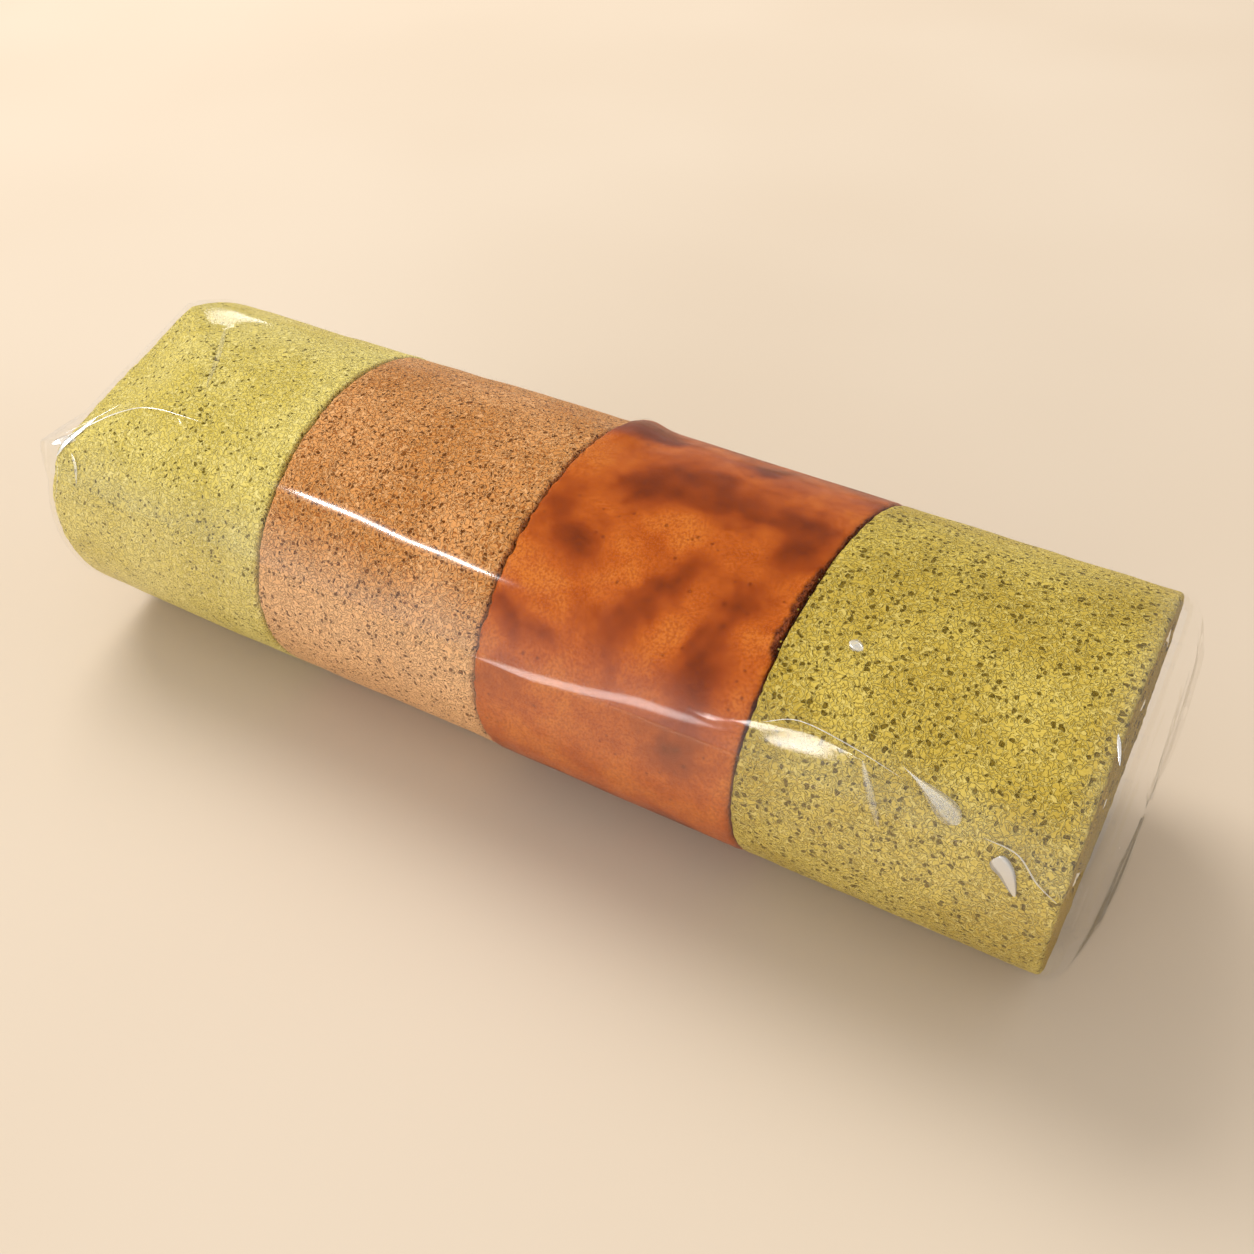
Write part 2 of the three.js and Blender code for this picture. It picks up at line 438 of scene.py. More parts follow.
@dataclass(frozen=True)
class Line:
    """A crease, fold or scratch that runs over the log from point to point."""

    stops: tuple[tuple[float, float], ...]
    width: float
    height: float
    pores: int = 0
    widest: float = 0.5

    def trace(self, share: np.ndarray) -> np.ndarray:
        """Find places and angles in degrees on a smooth curve through the stops.

        Args:
            share: Shares of the way along the line.

        Returns:
            The place along the log and the angle for each share.
        """
        stops = np.array(self.stops)
        pull = np.gradient(stops, axis=0)
        spot = np.asarray(share, float) * (len(stops) - 1)
        first = np.minimum(spot.astype(int), len(stops) - 2)
        u = (spot - first)[..., None]
        near_start = (1 + 2 * u) * (1 - u) ** 2 * stops[first] + u * (1 - u) ** 2 * pull[first]
        near_end = u**2 * (3 - 2 * u) * stops[first + 1] - u**2 * (1 - u) * pull[first + 1]
        return near_start + near_end

    def near(self, t: np.ndarray, x: np.ndarray) -> np.ndarray:
        """How strongly each point is touched by the line.

        Args:
            t: Angles round the log.
            x: Places along it.

        Returns:
            Values from nought to one.
        """
        arc = t * MEAN_RADIUS
        best = np.full(np.broadcast(t, x).shape, np.inf)
        for (x0, a0), (x1, a1) in zip(self.stops, self.stops[1:]):
            s0, s1 = math.radians(a0) * MEAN_RADIUS, math.radians(a1) * MEAN_RADIUS
            span = np.array([x1 - x0, s1 - s0])
            share = ((x - x0) * span[0] + (arc - s0) * span[1]) / span.dot(span)
            share = np.clip(share, 0, 1)
            best = np.minimum(best, np.hypot(x - x0 - share * span[0], arc - s0 - share * span[1]))
        return bell(best, self.width)


@dataclass(frozen=True)
class Blotch:
    """A patch where the egg skin browned more, with its place, size and lean."""

    x: float
    degrees: float
    length: float
    breadth: float
    lean: float
    strength: float

    def near(self, t: np.ndarray, x: np.ndarray) -> np.ndarray:
        """How strongly each point is browned, from nought to one."""
        across = (t - math.radians(self.degrees)) * MEAN_RADIUS
        along = x - self.x
        turn = math.radians(self.lean)
        u = along * math.cos(turn) + across * math.sin(turn)
        v = across * math.cos(turn) - along * math.sin(turn)
        return self.strength * np.exp(-np.square(u / self.length) - np.square(v / self.breadth))


@dataclass(frozen=True)
class Browning:
    """How an egg skin browned in blotches, and how it is darker all over on the top back and the
    underside.
    """

    blotches: tuple[Blotch, ...]
    strength: float = 1.2
    wobble: float = 2.6
    wobble_size: float = 11.0
    far_side: tuple[float, float] = (math.radians(9), math.radians(30))
    underside: tuple[float, float] = (math.radians(100), math.radians(125))
    far_darkening: tuple[float, float] = (0.55, 0.8)
    far_patch: float = 16.0

    def toast(self, t: np.ndarray, x: np.ndarray, points: np.ndarray) -> np.ndarray:
        """How dark the skin is: browned in blotches, and darker on the top back and the underside.

        Args:
            t: Angles of the columns.
            x: Places of the points along the log.
            points: The points.

        Returns:
            Nought where it is palest, and one or more where it is darkest.
        """
        warp = self.wobble * grain(points, self.wobble_size, 4.0)
        toast = np.zeros_like(x)
        for blotch in self.blotches:
            toast = toast + blotch.near(t + warp / MEAN_RADIUS, x + warp)
        turned = t + 0 * x
        away = np.maximum(ramp(turned, *self.far_side), ramp(np.abs(turned), *self.underside))
        even, patchy = self.far_darkening
        patches = ramp(grain(points, self.far_patch, 21.0), 0.0, 0.5)
        return self.strength * toast + away * (even + patchy * patches)


class Board:
    """A material's nodes, laid out with short calls."""

    def __init__(self, name: str) -> None:
        """Start an empty material.

        Args:
            name: The material's name.
        """
        self.material = bpy.data.materials.new(name)
        self.material.use_nodes = True
        self.tree = self.material.node_tree
        self.tree.nodes.clear()
        self.output = self.tree.nodes.new("ShaderNodeOutputMaterial")
        self.place = self.tree.nodes.new("ShaderNodeTexCoord").outputs["Object"]

    def add(self, kind: str, settings: dict | None = None, **inputs: object) -> bpy.types.Node:
        """Add a node, set its options, and link or set its inputs.

        Args:
            kind: The node's type, without its ShaderNode prefix.
            settings: Options of the node itself.
            **inputs: Sockets by name, with spaces written as underscores.

        Returns:
            The new node.
        """
        node = self.tree.nodes.new("ShaderNode" + kind)
        for name, value in (settings or {}).items():
            setattr(node, name, value)
        for name, value in inputs.items():
            key = int(name[1:]) if name[0] == "i" and name[1:].isdigit() else name.replace("_", " ")
            self.feed(node.inputs[key], value)
        return node

    def feed(self, socket: bpy.types.NodeSocket, value: object) -> None:
        """Link a socket to another, or set its value."""
        if isinstance(value, bpy.types.NodeSocket):
            self.tree.links.new(value, socket)
        else:
            socket.default_value = value

    def math(self, operation: str, first: object, second: object = 0.0) -> bpy.types.NodeSocket:
        """Add a Math node and give its result."""
        return self.add("Math", {"operation": operation}, i0=first, i1=second).outputs[0]

    def plus(self, first: object, second: object) -> bpy.types.NodeSocket:
        """Add two values."""
        return self.math("ADD", first, second)

    def minus(self, first: object, second: object) -> bpy.types.NodeSocket:
        """Take the second value from the first."""
        return self.math("SUBTRACT", first, second)

    def times(self, first: object, second: object) -> bpy.types.NodeSocket:
        """Multiply two values."""
        return self.math("MULTIPLY", first, second)

    def most(self, first: object, second: object) -> bpy.types.NodeSocket:
        """Take the larger of two values."""
        return self.math("MAXIMUM", first, second)

    def span(
        self, value: object, low: float, high: float, to: tuple[float, float] = (0.0, 1.0)
    ) -> bpy.types.NodeSocket:
        """Map a value smoothly from one range to another, and clamp it."""
        node = self.add("MapRange", {"interpolation_type": "SMOOTHSTEP"}, Value=value)
        for name, number in zip(("From Min", "From Max", "To Min", "To Max"), (low, high, *to)):
            node.inputs[name].default_value = number
        return node.outputs[0]

    def speckle(self, size: float, detail: float = 2.0, warp: float = 0.0) -> bpy.types.NodeSocket:
        """Add a noise pattern whose lumps are about size millimetres."""
        node = self.add(
            "TexNoise", Vector=self.place, Scale=1.0 / (size * MM), Detail=detail, Distortion=warp
        )
        return node.outputs[0]

    def blend(self, factor: object, first: object, second: object) -> bpy.types.NodeSocket:
        """Mix two colours."""
        return self.add("Mix", {"data_type": "RGBA"}, i0=factor, i6=first, i7=second).outputs[2]

    def attribute(self, name: str) -> bpy.types.NodeSocket:
        """Read one of the piece's own values."""
        return self.add("Attribute", {"attribute_name": name}).outputs["Fac"]

    def bump(self, height: object, distance: float) -> bpy.types.NodeSocket:
        """Turn a height into a bumpy normal, with the distance in millimetres."""
        return self.add("Bump", Height=height, Distance=distance * MM, Strength=1.0).outputs[0]

    def show(self, shader: bpy.types.Node) -> bpy.types.Material:
        """Send a shader to the output and give the material."""
        self.tree.links.new(shader.outputs[0], self.output.inputs["Surface"])
        return self.material


Colour = tuple[float, float, float, float]


def shade(hexadecimal: str) -> Colour:
    """Turn a screen colour into the linear colour that the nodes take.

    Args:
        hexadecimal: Six hexadecimal digits.

    Returns:
        Linear red, green and blue with an alpha of one.
    """
    levels = [int(hexadecimal[i : i + 2], 16) / 255 for i in (0, 2, 4)]
    linear = [c / 12.92 if c <= 0.04045 else ((c + 0.055) / 1.055) ** 2.4 for c in levels]
    return (linear[0], linear[1], linear[2], 1.0)


@dataclass(frozen=True)
class SpongeFinish:
    """Open, curly sponge crumb, with painted shade in its pores and painted highlights on their rims."""

    name: str
    pale: Colour
    middle: Colour
    deep: Colour
    shadow: Colour
    # hollow: the colour of the painted shade in the pores.
    hollow: Colour
    # The colour of the cut faces: the crumb colour darkened with painted shade, where the faces turn
    # from the light.
    cut: Colour
    pore_size: float
    small_reach: tuple[float, float]
    large_reach: tuple[float, float]
    relief: float
    pore_tone: float
    crack_tone: float
    strand: float = 1.25

    def pores(
        self, b: Board, place: bpy.types.NodeSocket, size: float, reach: tuple, grown: object
    ) -> tuple[bpy.types.NodeSocket, bpy.types.NodeSocket]:
        """Scatter pores of many sizes, each with a painted highlight on its rim.

        Args:
            b: The material's nodes.
            place: The coordinates to scatter them over.
            size: How far apart they are, in millimetres.
            reach: The radius of the least and the largest, as shares of size.
            grown: How much larger they are, as a share of size.

        Returns:
            Two values: one in the pores, and one on their rims.
        """
        cells = b.add("TexVoronoi", Vector=place, Scale=1.0 / (size * MM))
        luck = b.add("SeparateColor", Color=cells.outputs["Color"])
        radius = b.plus(b.span(luck.outputs[0], 0.0, 1.0, reach), grown)
        depth = b.minus(radius, cells.outputs["Distance"])
        rim = b.span(depth, -0.2, -0.03, (0.0, 1.0))
        return b.span(depth, -0.06, 0.07), rim

    def make(self) -> bpy.types.Material:
        """Build the material.

        Returns:
            The finished material.
        """
        b = Board(self.name)
        drift = b.add("TexNoise", Vector=b.place, Scale=1.0 / (1.5 * MM), Detail=1.0)
        pull = b.add("VectorMath", {"operation": "SCALE"}, i0=drift.outputs["Color"], Scale=1.7 * MM)
        bent = b.add("VectorMath", {"operation": "ADD"}, i0=b.place, i1=pull.outputs[0]).outputs[0]
        # Painted shade round carved pits and along creases, and the skin marks beside the cream. The
        # pores there also grow larger.
        marks_and_shade = b.attribute("pore")
        grown = b.times(marks_and_shade, 0.22)
        large, large_rim = self.pores(b, bent, self.pore_size * 3.0, self.large_reach, 0.0)
        small, small_rim = self.pores(b, bent, self.pore_size, self.small_reach, grown)
        worms = b.add("TexNoise", Vector=bent, Scale=1.0 / (self.strand * MM), Detail=0.0)
        ridge = b.math("ABSOLUTE", b.minus(worms.outputs[0], 0.5))
        curl = b.span(ridge, 0.01, 0.08, (1.0, 0.0))
        twist = b.add("TexNoise", Vector=bent, Scale=1.3 / (self.strand * MM), Detail=0.0)
        fold = b.math("ABSOLUTE", b.minus(twist.outputs[0], 0.46))
        crack = b.times(b.span(fold, 0.01, 0.07, (1.0, 0.0)), b.span(ridge, 0.03, 0.09))
        # Painted highlight: the pores' rims are lightened towards the pale colour, along with the pale
        # curls.
        rim = b.times(b.most(small_rim, large_rim), 0.4)
        strand = b.most(b.times(curl, 0.6), rim)
        cloud = b.span(b.speckle(20.0, 1.0), 0.35, 0.65)
        tone = b.blend(cloud, self.middle, self.deep)
        grit = b.span(b.speckle(0.55, 1.0), 0.4, 0.7)
        tone = b.blend(b.times(grit, 0.35), tone, self.shadow)
        tone = b.blend(b.times(strand, 0.6), tone, self.pale)
        tone = b.blend(b.times(crack, self.crack_tone), tone, self.shadow)
        # Painted haze of reflected light: paler low down.
        tone = b.blend(b.attribute("low_haze"), tone, self.pale)
        # Painted shade: the cut faces take the darker cut colour.
        tone = b.blend(b.times(b.attribute("cut"), 0.6), tone, self.cut)
        # Painted shade: the pores, and the spots round carved pits and along creases, darken towards the
        # hollow colour.
        open_pore = b.times(b.most(small, large), self.pore_tone)
        carved = b.span(b.plus(marks_and_shade, b.speckle(0.7, 1.0)), 0.95, 1.25)
        open_pore = b.most(open_pore, b.times(carved, self.pore_tone))
        tone = b.blend(open_pore, tone, self.hollow)
        raised = b.minus(b.times(curl, 0.6), b.times(crack, 0.5))
        height = b.minus(raised, b.most(small, large))
        shader = b.add(
            "BsdfPrincipled",
            Base_Color=tone,
            Roughness=b.span(open_pore, 0.0, 1.0, (0.8, 0.95)),
            Specular_IOR_Level=0.0,
            Normal=b.bump(height, self.relief),
        )
        return b.show(shader)


@dataclass(frozen=True)
class TigerSkinFinish:
    """Egg skin that browned in soft blotches, over bare dark sponge where it has torn."""

    name: str
    amber: Colour
    orange: Colour
    toasted: Colour
    burnt: Colour
    bare: Colour
    bare_deep: Colour

    def make(self) -> bpy.types.Material:
        """Build the material.

        Returns:
            The finished material.
        """
        b = Board(self.name)
        wander = b.times(b.minus(b.speckle(15.0, 3.0, 0.4), 0.5), 2.0)
        mottle = b.times(b.minus(b.speckle(4.5, 3.0), 0.5), 0.9)
        toast = b.plus(b.attribute("toast"), b.plus(wander, mottle))
        tone = b.blend(b.span(toast, -0.35, 0.3), self.amber, self.orange)
        tone = b.blend(b.span(toast, 0.1, 0.75), tone, self.toasted)
        tone = b.blend(b.span(toast, 0.5, 1.25), tone, self.burnt)
        dust = b.span(b.speckle(0.6, 1.0), 0.42, 0.62)
        tone = b.blend(b.times(dust, 0.55), tone, self.toasted)
        spots = b.add("TexVoronoi", Vector=b.place, Scale=460.0)
        chance = b.add("SeparateColor", Color=spots.outputs["Color"])
        size = b.span(chance.outputs[2], 0.72, 1.0, (0.0, 0.26))
        speck = b.span(b.minus(size, spots.outputs["Distance"]), -0.05, 0.08)
        tone = b.blend(b.times(speck, 0.55), tone, self.burnt)
        crumb = b.span(b.speckle(0.8, 3.0, 0.5), 0.35, 0.65)
        bare_tone = b.blend(crumb, self.bare_deep, self.bare)
        tone = b.blend(b.attribute("bare"), tone, bare_tone)
        fine = b.plus(b.times(b.speckle(0.8, 1.0), 0.6), b.speckle(2.8, 1.0))
        rough = b.times(b.attribute("bare"), crumb)
        height = b.plus(b.times(fine, 0.35), b.times(rough, 0.6))
        shader = b.add(
            "BsdfPrincipled",
            Base_Color=tone,
            Roughness=b.span(b.speckle(6.0, 3.0), 0.3, 0.7, (0.45, 0.62)),
            Specular_IOR_Level=0.05,
            Normal=b.bump(height, 0.3),
        )
        return b.show(shader)


@dataclass(frozen=True)
class CreamFinish:
    """Whipped cream, faintly pitted with air."""

    name: str = "whipped_cream"
    light: Colour = shade("f7edd6")
    dark: Colour = shade("ecd9b4")

    def make(self) -> bpy.types.Material:
        """Build the material."""
        b = Board(self.name)
        mottle = b.span(b.speckle(3.0, 3.0), 0.3, 0.7)
        bubbles = b.add("TexVoronoi", Vector=b.place, Scale=900.0)
        dimple = b.span(bubbles.outputs["Distance"], 0.05, 0.3)
        tone = b.blend(mottle, self.dark, self.light)
        height = b.plus(b.times(dimple, 0.4), b.speckle(1.5, 3.0))
        shader = b.add(
            "BsdfPrincipled",
            Base_Color=tone,
            Roughness=b.span(mottle, 0.0, 1.0, (0.6, 0.45)),
            Normal=b.bump(height, 0.25),
        )
        return b.show(shader)


@dataclass(frozen=True)
class FilmFinish:
    """Clear glossy food film, seen by its reflections alone."""

    name: str = "clear_film"
    tint: Colour = (1.0, 1.0, 1.0, 1.0)
    gloss: float = 0.0025
    edge_gloss: float = 0.17
    gather_gloss: float = 0.05
    fold_gloss: float = 0.22

    def make(self) -> bpy.types.Material:
        """Build the material."""
        b = Board(self.name)
        shine = b.add(
            "BsdfPrincipled",
            Base_Color=self.tint,
            Metallic=1.0,
            Roughness=b.span(b.attribute("fold"), 0.0, 0.4, (0.075, 0.35)),
        )
        clear = b.add("BsdfTransparent", Color=(1.0, 1.0, 1.0, 1.0))
        facing = b.add("LayerWeight").outputs["Facing"]
        grazing = b.times(b.math("POWER", facing, 5.0), self.edge_gloss)
        layers = b.times(b.attribute("gather"), self.gather_gloss)
        folded = b.times(b.attribute("fold"), self.fold_gloss)
        amount = b.plus(b.plus(grazing, layers), b.plus(folded, self.gloss))
        mixed = b.add("MixShader", Fac=amount, i1=clear.outputs[0], i2=shine.outputs[0])
        return b.show(mixed)


@dataclass(frozen=True)
class FloorFinish:
    """A plain pale cream floor with the faintest mottle."""

    name: str = "pale_floor"
    light: Colour = shade("cfbfab")
    dark: Colour = shade("cbbaa5")

    def make(self) -> bpy.types.Material:
        """Build the material."""
        b = Board(self.name)
        tone = b.blend(b.span(b.speckle(300.0, 2.0), 0.3, 0.7), self.dark, self.light)
        shader = b.add("BsdfPrincipled", Base_Color=tone, Roughness=0.75, Specular_IOR_Level=0.0)
        return b.show(shader)


Finish = SpongeFinish | TigerSkinFinish | CreamFinish | FilmFinish


@cache
def material_of(finish: Finish) -> bpy.types.Material:
    """Make a finish's material once, and share it among the pieces that have that finish."""
    return finish.make()


@dataclass(kw_only=True)
class Assembly:
    """What every sub-assembly has: a finish, the name of a slot and the node it stands for."""

    finish: Finish
    slot: str
    node: str | None = None

    def dress(self, piece: bpy.types.Object) -> None:
        """Give a piece its material, hang it from the root, and hide the part that it stands for.

        Args:
            piece: The piece, as built.
        """
        piece.data.materials.append(material_of(self.finish))
        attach(piece, "root")
        if self.node:
            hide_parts(self.node)


@dataclass(kw_only=True)
class SpongeRoll(Assembly):
    """One short roll of sponge, from one cut to the next."""

    surface: Surface
    left: Cut
    right: Cut
    swell: float
    seed: int
    pores: int
    pore_radius: tuple[float, float]
    pore_depth: float = 0.6
    pore_stretch: tuple[float, float] = (0.7, 1.5)
    small_pores: float = 2.5
    creases: tuple[Line, ...] = ()
    # How much painted shade lies along a crease.
    crease_shade: float = 0.42
    crease_pore: tuple[float, float] = (0.4, 0.7)
    crease_stretch: tuple[float, float] = (0.7, 1.2)
    crease_scatter: float = 0.012
    dents: tuple[Line, ...] = ()
    browning: Browning | None = None
    tear: Tear | None = None
    # Painted haze of reflected light: how much paler the sponge is made low down.
    haze_strength: float = 0.0
    columns: int = 470
    side_rows: int = 128
    open_face_rows: int = 52
    shut_face_rows: int = 6
    edge_round: float = 1.0
    edge_reach: tuple[float, float] = (2.2, 3.0)
    lump_height: float = 0.22
    lump_size: float = 9.0
    bed_depth: float = 2.2
    wave_height: float = 0.12
    wave_size: float = 14.0
    # The angles from the crown over which the painted haze rises.
    haze_angles: tuple[float, float] = (math.radians(48), math.radians(84))

    def face_rows(self, cut: Cut) -> np.ndarray:
        """How far in from the outline each row of a cut face lies, from the middle outwards.

        Args:
            cut: The cut whose face it is.

        Returns:
            Shares of the way in, from one at the middle to nearly nought.
        """
        count = self.open_face_rows if cut.exposed else self.shut_face_rows
        return np.linspace(1.0, 1.0 / count, count)

    def rows(self) -> tuple[np.ndarray, np.ndarray, np.ndarray]:
        """Lay out the rows from the middle of the left face to the middle of the right.

        Returns:
            For each row its distance in from the outline, its distance in from the nearer cut,
            and its share of the way from the left cut to the right.
        """
        radius = self.edge_round
        bend = np.linspace(0, math.pi / 2, 4)
        length = self.right.at - self.left.at
        inset: list[float] = []
        along: list[float] = []
        for share in self.face_rows(self.left):
            inset.append(radius + share * (HALF_WIDTH - radius))
            along.append(0.0)
        for angle in bend:
            inset.append(radius * (1 - math.sin(angle)))
            along.append(radius * (1 - math.cos(angle)))
        even = np.linspace(0, 1, self.side_rows)
        crowd = even - 0.05 * np.sin(TURN * even)
        for share in crowd[1:-1]:
            inset.append(0.0)
            along.append(radius + share * (length - 2 * radius))
        for angle in bend[::-1]:
            inset.append(radius * (1 - math.sin(angle)))
            along.append(length - radius * (1 - math.cos(angle)))
        for share in self.face_rows(self.right)[::-1]:
            inset.append(radius + share * (HALF_WIDTH - radius))
            along.append(length)
        return np.array(inset), np.array(along), np.array(along) / length

    def build(self) -> bpy.types.Object:
        """Model the roll.

        Returns:
            The roll's object.
        """
        rng = np.random.default_rng(self.seed)
        t = SECTION.even_angles(self.columns)[None, :]
        inset, along, share = (part[:, None] for part in self.rows())
        length = self.right.at - self.left.at
        reach_along, reach_in = self.edge_reach
        edge_left = self.left.ragged_edge(t[0], self.seed) * bell(along, reach_along)
        edge_right = self.right.ragged_edge(t[0], self.seed + 3) * bell(length - along, reach_along)
        crumbled = (edge_left - edge_right) * bell(inset, reach_in)
        x = self.left.at + along + 0 * t
        outline = SECTION.place(t, x, 0.0, self.swell)
        centre = np.stack([x, 0 * x, AXIS_HEIGHT - 2 + 0 * x], axis=-1)
        keep = (1 - inset / HALF_WIDTH)[..., None]
        points = centre + (outline - centre) * keep
        skew = self.left.skew * (1 - share) + self.right.skew * share
        points[..., 0] += skew * points[..., 1] / HALF_WIDTH + crumbled
        normals = outward(points)
        face = np.clip(inset / self.edge_round - 1, 0, 1) + 0 * t
        relief = Relief(points)
        self.press_pores(relief, rng, face)
        side = 1 - face
        depth = relief.depth
        if self.surface is Surface.POROUS:
            depth = depth - side * self.lump_height * grain(points, self.lump_size, self.seed)
        # Painted haze of reflected light, paler low down on both sides.
        low_haze = self.haze_strength * ramp(np.abs(t + 0 * x), *self.haze_angles)
        values = {"pore": relief.pore, "cut": face, "low_haze": low_haze * (1 - face)}
        if self.browning:
            depth, values = self.browned(t, x, points, depth, values, face)
        for dent in self.dents:
            depth = depth - side * dent.height * dent.near(t, x)
        if self.left.exposed or self.right.exposed:
            depth, values = self.groove(points, face, depth, values)
        points = points - normals * depth[..., None]
        points[..., 2] = np.maximum(points[..., 2], BASE_HEIGHT)
        return wrapped(self.node + "_crumb", points, values)

    def press_pores(self, relief: Relief, rng: np.random.Generator, face: np.ndarray) -> None:
        """Scatter open pores over the sponge and along its creases, and paint shade along the creases.

        Args:
            relief: Takes the pores.
            rng: The roll's own random numbers.
            face: One on the cut faces, nought round the outside.
        """
        rows, columns = relief.depth.shape
        rim = np.zeros(rows, bool)
        rim[1:-1] = (face[2:, 0] > 0) != (face[:-2, 0] > 0)
        rim[:-3] |= rim[3:]
        rim[3:] |= rim[:-3]
        low, high = self.pore_radius
        picked = rng.integers(0, rows, self.pores), rng.integers(0, columns - 1, self.pores)
        for row, column in zip(*picked):
            if self.surface is Surface.SKIN and face[row, column] < 0.5:
                continue
            if rim[row]:
                continue
            radius = low + (high - low) * rng.random() ** self.small_pores
            stretch = rng.uniform(*self.pore_stretch)
            relief.pit(int(row), int(column), radius, radius * self.pore_depth, stretch)
        angle = SECTION.even_angles(columns - 1)
        middle_column = columns // 2
        for line in self.creases:
            # Painted shade along the crease, which also makes the pores there larger.
            marks_and_shade = self.crease_shade * (1 - face) * line.near(angle[None, :], relief.points[..., 0])
            relief.pore = np.maximum(relief.pore, marks_and_shade)
            for _ in range(line.pores):
                x, degrees = line.trace(rng.random())
                place = relief.points[:, middle_column, 0] - x - rng.normal(0.0, line.width)
                row = int(np.argmin(np.abs(place) + 99 * face[:, middle_column]))
                turned = math.radians(degrees) + rng.normal(0.0, self.crease_scatter)
                column = int(np.argmin(np.abs(angle - turned)))
                radius = rng.uniform(*self.crease_pore)
                stretch = rng.uniform(*self.crease_stretch)
                relief.pit(row, column, radius, self.pore_depth, stretch)
        relief.close()

    def browned(
        self,
        t: np.ndarray,
        x: np.ndarray,
        points: np.ndarray,
        depth: np.ndarray,
        values: dict[str, np.ndarray],
        face: np.ndarray,
    ) -> tuple[np.ndarray, dict[str, np.ndarray]]:
        """Brown the skin in blotches and tear its right-hand edge.

        Args:
            t: Angles of the columns.
            x: Places of the points along the log.
            points: The points, before any relief.
            depth: How far each point is pressed in so far.
            values: The attributes so far.
            face: One on the cut faces, nought round the outside.

        Returns:
            The new depth and attributes.
        """
        values["toast"] = self.browning.toast(t, x, points) * (1 - face)
        values["bare"] = face
        if self.tear:
            from_cut = self.right.at - x
            back = self.tear.reach(t[0])[None, :]
            lost = ramp(back - from_cut, -0.12, 0.12)
            lip = bell(from_cut - back - 0.5, 0.55) * (back > self.tear.lip_from)
            depth = depth + lost * self.tear.depth * ramp(back, 0.3, 0.8) - self.tear.lip * lip
            values["bare"] = np.maximum(face, lost)
        return depth + self.wave_height * grain(points, self.wave_size, 8.0), values

    def groove(
        self,
        points: np.ndarray,
        face: np.ndarray,
        depth: np.ndarray,
        values: dict[str, np.ndarray],
    ) -> tuple[np.ndarray, dict[str, np.ndarray]]:
        """Sink a bed for the cream into an open cut face, and mark the skins beside it.

        Args:
            points: The points, before any relief.
            face: One on the cut faces, nought round the outside.
            depth: How far each point is pressed in so far.
            values: The attributes so far.

        Returns:
            The new depth and attributes.
        """
        away = spiral_distance(points[..., 1], points[..., 2] - AXIS_HEIGHT)
        half = CREAM_THICKNESS / 2 * HALF_WIDTH
        bed = 1 - ramp(away, half - 0.5, half + 0.4)
        skin = bell(away - half - 1.0, 0.8)
        values["pore"] = np.maximum(values["pore"], face * 0.45 * skin)
        return depth + face * self.bed_depth * bed, values


@dataclass(kw_only=True)
class CreamFilling(Assembly):
    """One strip of whipped cream that winds through the whole log."""

    steps: int = 300
    around: int = 56
    tip_steps: float = 7.0
    sunk: float = 0.6
    bulge: float = 0.35
    dish: float = 0.4

    def build(self) -> bpy.types.Object:
        """Model the strip as one closed skin along the spiral.

        Returns:
            The strip's object.
        """
        along = np.linspace(0, 1, self.steps + 1)[:, None]
        t = TAIL_ANGLE - (1 - along) * SPIRAL_TURNS * TURN
        end = np.minimum(along, 1 - along) * self.steps
        taper = np.sqrt(np.clip(end / self.tip_steps, 0, 1))
        half = CREAM_THICKNESS / 2 * HALF_WIDTH * taper
        turn = np.linspace(0, TURN, self.around + 1)[None, :]
        wide = np.sign(np.cos(turn)) * np.abs(np.cos(turn)) ** 0.12
        thick = np.sign(np.sin(turn)) * np.abs(np.sin(turn)) ** 0.5
        middle = CREAM_START + (CREAM_END - CREAM_START) * along
        share = middle + half * thick / HALF_WIDTH
        rise = np.where(np.cos(t) > 0, TOP_RISE, FLAT_DROP)
        y = HALF_WIDTH * share * np.sin(t)
        z = AXIS_HEIGHT + rise * share * np.cos(t)
        x = (LOG_LENGTH / 2 - self.sunk + self.bulge * (1 - thick**2)) * wide
        rim_height = np.clip((AXIS_HEIGHT + rise * np.cos(t)) / CROWN_HEIGHT, 0, 1)
        dish = (LEFT_TUCK + LEFT_LEAN * rim_height) * self.dish * share
        x = x + np.where(x < 0, dish, 0.0)
        points = np.stack([x, y, z], axis=-1)
        ripple = 0.3 * grain(points, 5.0, 2.0) * (np.abs(x) > LOG_LENGTH / 2 - 4)
        points[..., 0] += np.sign(x) * ripple
        return wrapped("cream_spiral", points, {})


